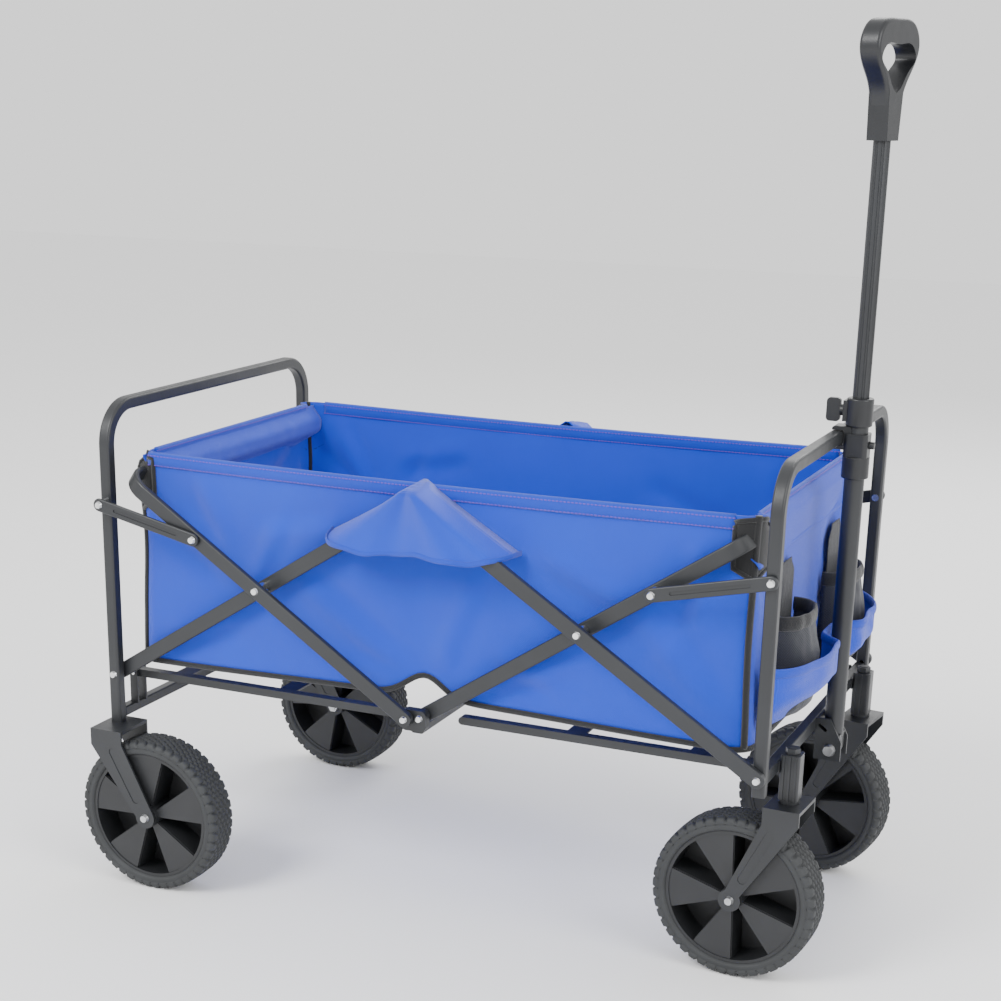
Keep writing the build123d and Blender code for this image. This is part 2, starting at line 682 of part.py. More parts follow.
# The grip: a ring-shaped handle on a tapered socket, turned a little about the tube.
grip_plane = Plane(origin=(drawbar_x, 0, 0), x_dir=(sin(radians(-grip_turn)), cos(radians(-grip_turn)), 0),
                   z_dir=(cos(radians(-grip_turn)), -sin(radians(-grip_turn)), 0))
with BuildPart() as grip:
    with BuildSketch(grip_plane.offset(-11.5)):
        with BuildLine():
            l1 = Line((-12.5, socket_foot), (12.5, socket_foot))
            l2 = Line((12.5, socket_foot), (14.5, socket_foot + 34))
            s1 = Spline((14.5, socket_foot + 34), (38, socket_foot + 72), (46, grip_top - 26),
                        (34, grip_top - 5), (0, grip_top), (-34, grip_top - 5), (-46, grip_top - 26),
                        (-38, socket_foot + 72), (-14.5, socket_foot + 34),
                        tangents=((0.2, 1), (0.2, -1)))
            l3 = Line((-14.5, socket_foot + 34), (-12.5, socket_foot))
        make_face()
        with BuildLine():
            Spline((0, socket_foot + 46), (25, socket_foot + 68), (37, grip_top - 38), (30, grip_top - 27),
                   (0, grip_top - 25), (-30, grip_top - 27), (-37, grip_top - 38), (-25, socket_foot + 68),
                   (0, socket_foot + 46), tangents=((1, 0.3), (1, -0.3)))
        make_face(mode=Mode.SUBTRACT)
    extrude(amount=23)
    fillet(grip.edges().group_by(SortBy.LENGTH)[-1], 4)
    with BuildSketch(Plane(origin=(drawbar_x, 0, socket_foot - 1))):
        Circle(inner_tube_radius + 0.05)
    extrude(amount=26, mode=Mode.SUBTRACT)
finish(grip, "handle_grip")

# ---- build: basket ------------------------------------------------------------------------------------
basket_mid = (basket_rear + basket_front) / 2
basket_long = basket_front - basket_rear
corner_x = 34.0
corner_z = 48.0
with BuildPart() as basket_body:
    with BuildSketch(Plane(origin=(basket_mid, 0, basket_foot))):
        Rectangle(basket_long, 2 * basket_half)
    extrude(amount=basket_rim - basket_foot)
    with BuildSketch(Plane(origin=(basket_mid, 0, basket_foot + fabric))):
        Rectangle(basket_long + 2, 2 * basket_half - 2 * fabric)
    extrude(amount=basket_rim, mode=Mode.SUBTRACT)
    for x in (basket_rear + corner_x / 2, basket_front - corner_x / 2):
        with Locations((x, 0, basket_rim - corner_z / 2)):
            Box(corner_x + 0.02, 2 * basket_half + 2, corner_z + 0.02, mode=Mode.SUBTRACT)
finish(basket_body, "basket_body")

for name, x in (("basket_rear_wall", basket_rear - fabric), ("basket_front_wall", basket_front)):
    with BuildPart() as wall:
        with BuildSketch(Plane.YZ.offset(x)):
            with Locations((0, (basket_foot + basket_rim) / 2)):
                Rectangle(2 * basket_half, basket_rim - basket_foot)
        extrude(amount=fabric)
    finish(wall, name)

pocket_x = basket_front + fabric
cup_y = 105.0
with BuildPart() as pockets:
    for side in (-1, 1):
        for solid_half, mode in ((0.0, Mode.ADD), (fabric, Mode.SUBTRACT)):
            with BuildSketch(Plane(origin=(pocket_x, side * cup_y, 285 + 2 * solid_half))):
                with Locations((22 - solid_half, 0)):
                    RectangleRounded(44 - 2 * solid_half, 90 - 2 * solid_half, 16)
            extrude(amount=105, mode=mode)
    with BuildSketch(Plane(origin=(pocket_x + 2.0, 0, 284))):
        with Locations((0, 0)):
            Rectangle(4, 2 * cup_y - 88)
    extrude(amount=60)
finish(pockets, "front_pockets")
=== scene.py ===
"""Folding utility wagon: fabric, tyres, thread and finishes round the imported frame.

Metres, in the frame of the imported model: +X forward, +Y left, +Z up.
"""
import json
from math import atan2, cos, exp, hypot, pi, radians, sin, tau

import bpy
import bmesh
from mathutils import Matrix, Vector, noise


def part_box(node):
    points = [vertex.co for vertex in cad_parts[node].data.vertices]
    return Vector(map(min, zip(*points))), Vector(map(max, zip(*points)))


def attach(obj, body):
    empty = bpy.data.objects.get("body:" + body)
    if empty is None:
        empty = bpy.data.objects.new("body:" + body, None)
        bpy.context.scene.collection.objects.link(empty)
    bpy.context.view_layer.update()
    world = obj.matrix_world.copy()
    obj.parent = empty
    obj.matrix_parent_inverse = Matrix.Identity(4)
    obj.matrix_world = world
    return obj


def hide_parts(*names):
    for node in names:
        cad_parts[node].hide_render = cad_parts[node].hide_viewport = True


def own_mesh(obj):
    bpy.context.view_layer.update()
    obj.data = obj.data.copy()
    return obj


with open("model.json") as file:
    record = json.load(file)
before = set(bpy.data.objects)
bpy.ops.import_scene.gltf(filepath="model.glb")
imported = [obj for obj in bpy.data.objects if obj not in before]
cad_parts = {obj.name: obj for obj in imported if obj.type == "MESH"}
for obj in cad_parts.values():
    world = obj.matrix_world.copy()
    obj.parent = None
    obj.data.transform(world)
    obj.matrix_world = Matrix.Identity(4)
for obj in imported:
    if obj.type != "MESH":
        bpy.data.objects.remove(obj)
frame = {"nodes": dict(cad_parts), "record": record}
nodes = frame["nodes"]
joints = {joint["name"]: joint for joint in frame["record"]["behaviour"]["joints"]}
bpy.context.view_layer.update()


# ---- materials --------------------------------------------------------------------------------
class Surface:
    """A Principled material with helpers for the nodes that feed it."""

    def __init__(self, name, color, roughness, metallic=0.0):
        self.material = bpy.data.materials.new(name)
        self.material.use_nodes = True
        self.material.diffuse_color = (*color, 1)
        self.tree = self.material.node_tree
        self.shader = self.tree.nodes["Principled BSDF"]
        self.shader.inputs["Base Color"].default_value = (*color, 1)
        self.shader.inputs["Roughness"].default_value = roughness
        self.shader.inputs["Metallic"].default_value = metallic
        self.coords = self.tree.nodes.new("ShaderNodeTexCoord")

    def add(self, kind, **props):
        """A new node; each keyword is one of its attributes, or else one of its inputs."""
        node = self.tree.nodes.new(kind)
        for key, value in props.items():
            if hasattr(node, key):
                setattr(node, key, value)
            else:
                node.inputs[key.replace("_", " ")].default_value = value
        return node

    def link(self, source, target):
        self.tree.links.new(source, target)

    def noise(self, scale, detail):
        node = self.add("ShaderNodeTexNoise", Scale=scale, Detail=detail)
        self.link(self.coords.outputs["Object"], node.inputs["Vector"])
        return node.outputs["Fac"]

    def waves(self, direction, spacing, vector):
        """Bands one every spacing metres, along X or Y of the given vector."""
        node = self.add("ShaderNodeTexWave", bands_direction=direction, Scale=tau / (20.0 * spacing))
        self.link(vector, node.inputs["Vector"])
        return node.outputs["Fac"]

    def math(self, operation, a, b):
        node = self.add("ShaderNodeMath", operation=operation)
        for socket, value in zip(node.inputs, (a, b)):
            if isinstance(value, float):
                socket.default_value = value
            else:
                self.link(value, socket)
        return node.outputs[0]

    def ramp(self, fac, stops):
        node = self.add("ShaderNodeValToRGB")
        elements = node.color_ramp.elements
        for element, (place, color) in zip(elements, (stops[0], stops[-1])):
            element.position = place
            element.color = (*color, 1)
        for place, color in stops[1:-1]:
            element = elements.new(place)
            element.color = (*color, 1)
        self.link(fac, node.inputs["Fac"])
        return node.outputs["Color"]

    def spread(self, fac, low, high):
        node = self.add("ShaderNodeMapRange")
        node.inputs["To Min"].default_value = low
        node.inputs["To Max"].default_value = high
        self.link(fac, node.inputs["Value"])
        return node.outputs["Result"]

    def times(self, a, b):
        """Two colours multiplied."""
        node = self.add("ShaderNodeMix", data_type="RGBA", blend_type="MULTIPLY")
        mix_factor, mix_a, mix_b, mix_color = 0, 6, 7, 2
        node.inputs[mix_factor].default_value = 1.0
        self.link(a, node.inputs[mix_a])
        self.link(b, node.inputs[mix_b])
        return node.outputs[mix_color]

    def color(self, output):
        self.link(output, self.shader.inputs["Base Color"])

    def rough(self, output):
        self.link(output, self.shader.inputs["Roughness"])

    def bump(self, height, distance, strength=1.0, under=None):
        node = self.add("ShaderNodeBump", Distance=distance, Strength=strength)
        self.link(height, node.inputs["Height"])
        if under is not None:
            self.link(under, node.inputs["Normal"])
        self.link(node.outputs["Normal"], self.shader.inputs["Normal"])
        return node.outputs["Normal"]


def tint(color, factor):
    return tuple(min(1.0, channel * factor) for channel in color)


def powder_coat(name, color):
    """Satin powder coating: fine orange peel, a little dust and uneven gloss."""
    made = Surface(name, color, 0.42)
    made.shader.inputs["Specular IOR Level"].default_value = 0.5
    dust = made.noise(9.0, 6.0)
    made.color(made.ramp(dust, ((0.3, tint(color, 0.82)), (0.55, color), (0.8, tint(color, 1.25)))))
    made.rough(made.spread(made.noise(38.0, 4.0), 0.30, 0.52))
    broad = made.bump(made.noise(260.0, 2.0), 0.00035, 0.35)
    made.bump(made.noise(1500.0, 2.0), 0.00012, 0.5, under=broad)
    return made.material


def plated(name, color, roughness):
    made = Surface(name, color, roughness, 1.0)
    made.color(made.ramp(made.noise(60.0, 5.0), ((0.35, tint(color, 0.75)), (0.7, color))))
    made.rough(made.spread(made.noise(240.0, 3.0), roughness * 0.7, roughness * 1.5))
    made.bump(made.noise(900.0, 2.0), 0.0001, 0.3)
    return made.material


def moulded(name, color, roughness, grain):
    """Moulded plastic or rubber with a fine grain and faint flow marks."""
    made = Surface(name, color, roughness)
    flow = made.noise(22.0, 5.0)
    made.color(made.ramp(flow, ((0.3, tint(color, 0.8)), (0.6, color), (0.85, tint(color, 1.3)))))
    made.rough(made.spread(made.noise(70.0, 3.0), roughness - 0.08, roughness + 0.1))
    made.bump(made.noise(grain, 2.0), 0.00018, 0.5)
    return made.material


def woven(name, color, thread, roughness=0.62, sheen=0.25):
    """Plain weave: warp over weft in alternate squares, with painted shade and highlight following the
    weave's height, uneven dye and lint.
    """
    made = Surface(name, color, roughness)
    made.shader.inputs["Sheen Weight"].default_value = sheen
    made.shader.inputs["Sheen Roughness"].default_value = 0.45
    made.shader.inputs["Specular IOR Level"].default_value = 0.32
    warp = made.waves("X", thread, made.coords.outputs["UV"])
    weft = made.waves("Y", thread, made.coords.outputs["UV"])
    checker = made.add("ShaderNodeTexChecker", Scale=1.0 / thread)
    made.link(made.coords.outputs["UV"], checker.inputs["Vector"])
    over = made.math("MULTIPLY", warp, checker.outputs["Fac"])
    inverse = made.math("SUBTRACT", 1.0, checker.outputs["Fac"])
    under = made.math("MULTIPLY", weft, inverse)
    height = made.math("ADD", over, under)
    # painted shade on the low threads of the weave and painted highlight on the high ones
    shade = made.ramp(height, ((0.0, tint(color, 0.72)), (0.7, color), (1.0, tint(color, 1.12))))
    cloud = made.ramp(made.noise(7.0, 5.0), ((0.3, (0.86, 0.86, 0.9)), (0.7, (1.0, 1.0, 1.0))))
    made.color(made.times(shade, cloud))
    creases = made.bump(made.noise(46.0, 5.0), 0.0022, 0.35)
    made.bump(height, thread * 0.35, 0.7, under=creases)
    return made.material


def meshed(name, color, behind, pitch):
    """Open knitted mesh drawn solid: its holes, in a diagonal net, are painted with the blue cloth seen
    through them, darkened as painted shade.
    """
    made = Surface(name, color, 0.55)
    made.shader.inputs["Sheen Weight"].default_value = 0.15
    turn = made.add("ShaderNodeMapping")
    turn.inputs["Rotation"].default_value = (0, 0, radians(45))
    made.link(made.coords.outputs["UV"], turn.inputs["Vector"])
    across = made.waves("X", pitch, turn.outputs["Vector"])
    along = made.waves("Y", pitch, turn.outputs["Vector"])
    net = made.math("MAXIMUM", across, along)
    # the holes carry the blue cloth behind the mesh, painted dark as shade
    made.color(made.ramp(net, ((0.55, behind), (0.72, color))))
    made.bump(net, 0.0006, 1.0)
    return made.material


blue = (0.002, 0.055, 0.66)
charcoal = (0.016, 0.0175, 0.020)
black = (0.009, 0.0095, 0.011)
frame_finish = powder_coat("frame_powder_coat", charcoal)
bar_finish = powder_coat("bar_powder_coat", tint(charcoal, 1.12))
rivet_finish = plated("rivet_bright", (0.78, 0.79, 0.8), 0.18)
bolt_finish = plated("bolt_zinc", (0.62, 0.63, 0.64), 0.3)
rim_finish = moulded("rim_plastic", (0.014, 0.015, 0.017), 0.46, 1300.0)
tyre_finish = moulded("tyre_rubber", (0.026, 0.028, 0.030), 0.68, 900.0)
plastic_finish = moulded("black_plastic", (0.010, 0.011, 0.013), 0.36, 1100.0)
blue_cloth = woven("blue_polyester", blue, 0.0011)
blue_hem = woven("blue_hem", tint(blue, 0.86), 0.0009, 0.6, 0.2)
black_tape = woven("black_binding", black, 0.0014, 0.66, 0.3)
# the third colour is the blue cloth seen through the holes, painted dark as shade
cup_mesh = meshed("black_mesh", tint(black, 1.3), (0.004, 0.01, 0.035), 0.0021)
violet_thread = woven("violet_thread", (0.16, 0.05, 0.62), 0.0004, 0.45, 0.4)


def finish_of(name):
    """The material for a CAD node, from what the piece is."""
    if "rivet" in name or "pins" in name:
        return rivet_finish
    if "kingpin" in name:
        return bar_finish
    if "axle" in name or name == "drawbar_bolt":
        return bolt_finish
    if "rim_" in name:
        return rim_finish
    if "tyre" in name:
        return tyre_finish
    if name in ("drawbar_lower_collar", "drawbar_clamp", "clamp_knob", "lock_button", "handle_grip"):
        return plastic_finish
    if "bar_" in name and "drawbar" not in name or "hoop" in name or "link_" in name:
        return bar_finish
    return frame_finish


for name, node in nodes.items():
    for slot in node.material_slots:
        slot.material = finish_of(name)


# ---- meshes -------------------------------------------------------------------------------------
def new_object(name, mesh, material, body):
    obj = bpy.data.objects.new(name, mesh)
    bpy.context.scene.collection.objects.link(obj)
    mesh.materials.append(material)
    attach(obj, body)
    return obj


def grid_mesh(name, rows, uvs, closed=False):
    """A mesh over rows of points, with UVs in metres; closed joins the last column to the first."""
    count = len(rows[0])
    verts = [tuple(point) for row in rows for point in row]
    faces = []
    corner_uvs = []
    columns = count if closed else count - 1
    for r in range(len(rows) - 1):
        for c in range(columns):
            d = (c + 1) % count
            faces.append((r * count + c, r * count + d, (r + 1) * count + d, (r + 1) * count + c))
            corner_uvs += [uvs(r, c), uvs(r, c + 1), uvs(r + 1, c + 1), uvs(r + 1, c)]
    mesh = bpy.data.meshes.new(name)
    mesh.from_pydata(verts, [], faces)
    put_uvs(mesh, corner_uvs)
    shade_smooth(mesh)
    return mesh


def thicken(obj, thickness):
    """Gives the cloth its thickness, half on each side, in the mesh itself."""
    modifier = obj.modifiers.new("thickness", "SOLIDIFY")
    modifier.thickness = thickness
    modifier.offset = 0.0
    depsgraph = bpy.context.evaluated_depsgraph_get()
    made = bpy.data.meshes.new_from_object(obj.evaluated_get(depsgraph))
    obj.modifiers.clear()
    obj.data = made


def merge_doubles(mesh, distance):
    edit = bmesh.new()
    edit.from_mesh(mesh)
    bmesh.ops.remove_doubles(edit, verts=edit.verts, dist=distance)
    bmesh.ops.recalc_face_normals(edit, faces=edit.faces)
    edit.to_mesh(mesh)
    edit.free()


def put_uvs(mesh, corner_uvs):
    layer = mesh.uv_layers.new(name="UVMap")
    for index, uv in enumerate(corner_uvs):
        layer.data[index].uv = uv


def shade_smooth(mesh):
    for polygon in mesh.polygons:
        polygon.use_smooth = True


def tube_mesh(name, path, section, closed=False, up=Vector((0, 0, 1))):
    """A section (list of (side, up) pairs) carried along a path; ends are capped when open."""
    count = len(path)
    rings = []
    for i, point in enumerate(path):
        ahead = path[(i + 1) % count] if closed or i < count - 1 else path[i]
        behind = path[i - 1] if closed or i > 0 else path[i]
        direction = (ahead - behind).normalized()
        side = direction.cross(up)
        if side.length < 0.2:
            side = direction.cross(Vector((1, 0, 0)))
        side.normalize()
        rise = side.cross(direction)
        rings.append([point + side * a + rise * b for a, b in section])
    size = len(section)
    verts = [tuple(p) for ring in rings for p in ring]
    faces = []
    corner_uvs = []
    spans = count if closed else count - 1
    around = sum((Vector(section[k]) - Vector(section[k - 1])).length for k in range(size))
    lengths = [0.0]
    for i in range(count):
        lengths.append(lengths[-1] + (path[(i + 1) % count] - path[i]).length)
    for i in range(spans):
        j = (i + 1) % count
        for k in range(size):
            n = (k + 1) % size
            faces.append((i * size + k, i * size + n, j * size + n, j * size + k))
            u0, u1 = around * k / size, around * (k + 1) / size
            v0, v1 = lengths[i], lengths[i + 1]
            corner_uvs += [(u0, v0), (u1, v0), (u1, v1), (u0, v1)]
    if not closed:
        for start in (0, (count - 1) * size):
            ring = list(range(start, start + size))
            faces.append(ring if start else ring[::-1])
            corner_uvs += [(0.0, 0.0)] * size
    mesh = bpy.data.meshes.new(name)
    mesh.from_pydata(verts, [], faces)
    put_uvs(mesh, corner_uvs)
    shade_smooth(mesh)
    return mesh


def oval(wide, tall, count=12):
    return [(wide * cos(tau * k / count), tall * sin(tau * k / count)) for k in range(count)]


def stitches_mesh(name, path, normal, length, gap, radius):
    """Short raised thread stitches along a path, lying on a surface with the given normal."""
    around = 6
    # place along a stitch, and share of its radius there
    ends = ((-0.5, 0.25), (-0.28, 1.0), (0.28, 1.0), (0.5, 0.25))
    verts, faces, starts = [], [], []
    travelled, target = 0.0, gap
    for here, there in zip(path[:-1], path[1:]):
        span = (there - here).length
        while travelled + span > target:
            starts.append((here.lerp(there, (target - travelled) / span), (there - here).normalized()))
            target += length + gap
        travelled += span
    for middle, direction in starts:
        side = direction.cross(normal).normalized()
        base = len(verts)
        for at, grow in ends:
            for k in range(around):
                turn = tau * k / around
                out = side * cos(turn) + normal * sin(turn)
                verts.append(tuple(middle + direction * (length * at) + out * (radius * grow)))
        for ring in range(len(ends) - 1):
            for k in range(around):
                n = (k + 1) % around
                a = base + ring * around
                faces.append((a + k, a + n, a + around + n, a + around + k))
        last = base + (len(ends) - 1) * around
        faces.append(tuple(base + k for k in reversed(range(around))))
        faces.append(tuple(last + k for k in range(around)))
    mesh = bpy.data.meshes.new(name)
    mesh.from_pydata(verts, [], faces)
    shade_smooth(mesh)
    return mesh


# ---- basket -------------------------------------------------------------------------------------
body_low, body_high = (Vector(corner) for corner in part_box("basket_body"))
rear_low, _ = (Vector(corner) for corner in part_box("basket_rear_wall"))
_, front_high = (Vector(corner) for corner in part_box("basket_front_wall"))
rear_at = rear_low.x + 0.001
front_at = front_high.x - 0.001
middle_at = (rear_at + front_at) / 2 + 0.001
half_wide = body_high.y - 0.001
floor_at = body_low.z + 0.001
rim_at = body_high.z
rear_tube_x, front_tube_x = -0.3698, 0.3458  # the hoops' rim tubes, which run inside the cloth
cloth_thick = 0.0012
side_normals = {"right": (0, -1), "front": (1, 0), "left": (0, 1), "rear": (-1, 0)}


def sewn(name, mesh, material, thickness=None):
    """A piece sewn to the basket: attached to the basket's body, and thickened when a thickness is given."""
    obj = new_object(name, mesh, material, "basket")
    if thickness:
        thicken(obj, thickness)
    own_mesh(obj)
    return obj


def ease(value):
    value = min(max(value, 0.0), 1.0)
    return value * value * (3 - 2 * value)


def basket_plan(corner, spacing):
    """Plan of the basket, once round: (x, y, outward normal, side name) at each place."""
    corner_steps = 6
    points = []
    runs = (
        ("right", (rear_at + corner, -half_wide), (front_at - corner, -half_wide)),
        ("front", (front_at, -half_wide + corner), (front_at, half_wide - corner)),
        ("left", (front_at - corner, half_wide), (rear_at + corner, half_wide)),
        ("rear", (rear_at, half_wide - corner), (rear_at, -half_wide + corner)),
    )
    for name, start, end in runs:
        normal = side_normals[name]
        length = hypot(end[0] - start[0], end[1] - start[1])
        count = int(length / spacing)
        for k in range(count):
            t = k / count
            x = start[0] + (end[0] - start[0]) * t
            y = start[1] + (end[1] - start[1]) * t
            points.append((x, y, normal, name))
        turn0 = atan2(normal[1], normal[0])
        cx = end[0] - normal[0] * corner
        cy = end[1] - normal[1] * corner
        for k in range(corner_steps):
            turn = turn0 + (pi / 2) * k / corner_steps
            out = (cos(turn), sin(turn))
            points.append((cx + out[0] * corner, cy + out[1] * corner, out, name))
    return points


def crease_height(x, z, fold):
    """Height of one soft crease: a ridge along a segment, with a valley beside it."""
    ax, az, bx, bz, width, height = fold
    dx, dz = bx - ax, bz - az
    length = hypot(dx, dz)
    t = ((x - ax) * dx + (z - az) * dz) / (length * length)
    off = ((x - ax) * dz - (z - az) * dx) / length
    ends = ease(t / 0.3) * ease((1 - t) / 0.3) if 0 < t < 1 else 0.0
    ridge = exp(-(off / width) ** 2)
    valley = exp(-((off - 1.5 * width) / width) ** 2)
    return height * ends * (ridge - 0.7 * valley)


# start along and up, end along and up, width and height of each crease
side_folds = (
    (-0.015, 0.285, -0.190, 0.400, 0.013, 0.0040),
    (-0.030, 0.280, -0.130, 0.310, 0.010, 0.0035),
    (0.000, 0.300, 0.050, 0.430, 0.013, 0.0035),
    (0.010, 0.285, 0.190, 0.345, 0.012, 0.0038),
    (-0.368, 0.475, -0.235, 0.370, 0.014, 0.0042),
    (-0.360, 0.300, -0.230, 0.345, 0.014, 0.0032),
    (-0.300, 0.500, -0.250, 0.400, 0.012, 0.0030),
    (-0.250, 0.340, -0.180, 0.480, 0.011, 0.0028),
    (0.345, 0.470, 0.240, 0.330, 0.014, 0.0042),
    (0.330, 0.290, 0.215, 0.420, 0.015, 0.0040),
    (0.110, 0.455, 0.240, 0.400, 0.014, 0.0036),
    (-0.110, 0.455, -0.230, 0.430, 0.013, 0.0032),
    (0.060, 0.340, 0.160, 0.300, 0.011, 0.0028),
    (0.290, 0.500, 0.300, 0.380, 0.013, 0.0026),
)
end_folds = (
    (-0.190, 0.480, -0.060, 0.380, 0.016, 0.0035),
    (0.190, 0.480, 0.070, 0.390, 0.016, 0.0035),
    (-0.180, 0.300, -0.040, 0.350, 0.015, 0.0030),
    (0.170, 0.300, 0.030, 0.360, 0.015, 0.0030),
)


def rim_height(name, x):
    """Top edge of the fabric: it hangs a little between the ends."""
    if name in ("front", "rear"):
        return rim_at - 0.001
    return rim_at - 0.003 * sin(pi * min(max((x - rear_at) / (front_at - rear_at), 0.0), 1.0))


def middle_lift(x):
    """The floor and the foot of the sides rise over the tube between the centre brackets."""
    return 0.024 * exp(-((x + 0.012) / 0.030) ** 2)


def foot_height(name, x):
    """Bottom edge: lifted at the middle of each side, over the centre brackets."""
    if name in ("front", "rear"):
        return floor_at - 0.001
    run = 0.006 * sin(pi * (x - rear_at) / (front_at - rear_at)) ** 2
    return floor_at - 0.001 + middle_lift(x) + run


def wall_offset(name, x, y, z):
    """How far the cloth stands out of its flat wall."""
    high = (z - floor_at) / (rim_at - floor_at)
    middle = sin(pi * min(max(high, 0.0), 1.0))
    wobble = noise.noise(Vector((x * 9, y * 9, z * 12))) * 0.0016
    if name in ("left", "right"):
        shift = 0.0 if name == "right" else 0.02
        total = sum(crease_height(x + shift, z, fold) for fold in side_folds)
        inward = -0.0045 * middle
    else:
        total = sum(crease_height(y, z, fold) for fold in end_folds)
        inward = -0.004 * middle
    edge = ease(high / 0.12) * ease((1 - high) / 0.07)
    over_tube = -0.0115 * ease((z - rim_at + 0.017) / 0.014) if name in ("front", "rear") else 0.0
    return (total + wobble) * edge + inward + over_tube


plan = basket_plan(corner=0.022, spacing=0.006)
most_outward = 0.0032  # more would touch the crossing bars


def wall_point(place, height):
    """A point of the wall over a place in the plan; height is a share of the wall."""
    x, y, normal, name = place
    low = foot_height(name, x)
    high = rim_height(name, x)
    z = low + (high - low) * height
    out = min(wall_offset(name, x, y, z), most_outward)
    return Vector((x + normal[0] * out, y + normal[1] * out, z))


def normal_at(place):
    return Vector((*place[2], 0))


def nearest(x, y):
    """Index of the place in the plan nearest to x, y."""
    return min(range(len(plan)), key=lambda k: hypot(plan[k][0] - x, plan[k][1] - y))


seam_out = 0.19  # the floor's outer seams, either side of its middle one
floor_steps, wall_steps = 22, 44
shell_rows = []
for step in range(floor_steps):
    share = step / floor_steps
    row = []
    for x, y, _, name in plan:
        spine = min(max(x, rear_at + half_wide), front_at - half_wide)
        px = spine + (x - spine) * share
        py = y * share
        panel = 0.0015 * exp(-(((px - middle_at) / 0.006) ** 2))
        panel += 0.0012 * exp(-(((abs(px - middle_at) - seam_out) / 0.005) ** 2))
        run = foot_height(name, x) - floor_at - (middle_lift(x) if name in ("left", "right") else 0.0)
        edge = run * ease((share - 0.8) / 0.2) + middle_lift(px)
        sag = 0.0014 * noise.noise(Vector((px * 14, py * 14, 0.3)))
        row.append(Vector((px, py, floor_at + 0.0012 - panel + sag * (1 - share) + edge)))
    shell_rows.append(row)
for step in range(wall_steps + 1):
    shell_rows.append([wall_point(place, step / wall_steps) for place in plan])

distances = [0.0]
for here, there in zip(plan, plan[1:] + plan[:1]):
    distances.append(distances[-1] + hypot(there[0] - here[0], there[1] - here[1]))
rise = [0.0]
measured_column = 10
for above, below in zip(shell_rows[1:], shell_rows[:-1]):
    rise.append(rise[-1] + (above[measured_column] - below[measured_column]).length)
shell_mesh = grid_mesh("basket_shell", shell_rows, lambda r, c: (distances[c], rise[r]), closed=True)
merge_doubles(shell_mesh, 0.0002)
shell = sewn("basket_shell", shell_mesh, blue_cloth, cloth_thick)
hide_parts("basket_body", "basket_front_wall", "basket_rear_wall")

# ---- rim hem with its two rows of stitching -------------------------------------------------------
hem_height, hem_thick = 0.017, 0.0046
hem_rise = 0.0015  # the hem stands this much over the cloth's edge
stitch_drops = (0.0028, 0.0135)
stitch_long, stitch_gap, stitch_radius = 0.0034, 0.0009, 0.00066


def tape_section(wide, thick):
    """Section of a flat woven tape with soft edges."""
    side, edge = thick / 2, (wide - thick) / 2
    return [
        (side, -edge), (side, 0), (side, edge), (0, wide / 2),
        (-side, edge), (-side, 0), (-side, -edge), (0, -wide / 2),
    ]


for side_name in ("right", "left", "rear", "front"):
    straight = [p for p in plan if p[3] == side_name and p[2] == side_normals[side_name]]
    top = [wall_point(p, 1.0) for p in straight]
    normal = normal_at(straight[0])
    middle = [p - Vector((0, 0, hem_height / 2 - hem_rise)) for p in top]
    label = f"rim_hem_{side_name}"
    hem_mesh = tube_mesh(label, middle, tape_section(hem_height, hem_thick))
    sewn(label, hem_mesh, blue_hem)
    for row, drop in enumerate(stitch_drops):
        for side, outward in (("out", normal), ("in", -normal)):
            line = [p - Vector((0, 0, drop)) + outward * (hem_thick / 2 + 0.0001) for p in top]
            label = f"rim_stitches_{side_name}_{side}_{row}"
            mesh = stitches_mesh(label, line, outward, stitch_long, stitch_gap, stitch_radius)
            sewn(label, mesh, violet_thread)

# ---- facings sewn inside the ends, over the hoops' rim tubes -----------------------------------------
facing_half = half_wide - 0.003
facing_tall = 0.050
tube_room = 0.0105  # from the middle of a rim tube to the facing over it
facing_columns, facing_rows = 60, 24
ends = (("rear", rear_tube_x, rear_at, 1), ("front", front_tube_x, front_at, -1))
for end_name, tube_x, wall_x, inward in ends:
    over_tube = abs(tube_x - wall_x) + tube_room
    top_reach, sewn_reach = 0.0120, 0.0014
    rows = []
    for k in range(facing_columns + 1):
        y = facing_half * (-1 + 2 * k / facing_columns)
        row = []
        for n in range(facing_rows + 1):
            t = n / facing_rows
            reach = top_reach + (over_tube - top_reach) * ease(t / 0.4)
            reach = sewn_reach + (reach - sewn_reach) * ease((1 - t) / 0.42)
            pucker = 0.0012 * noise.noise(Vector((y * 40, t * 4, inward))) * sin(pi * t)
            row.append(Vector((wall_x + inward * (reach + pucker), y, rim_at - 0.004 - facing_tall * t)))
        rows.append(row)
    label = f"rim_facing_{end_name}"
    mesh = grid_mesh(label, rows, lambda r, c: (r * 0.0067, c * 0.003))
    facing = sewn(label, mesh, blue_cloth, cloth_thick)

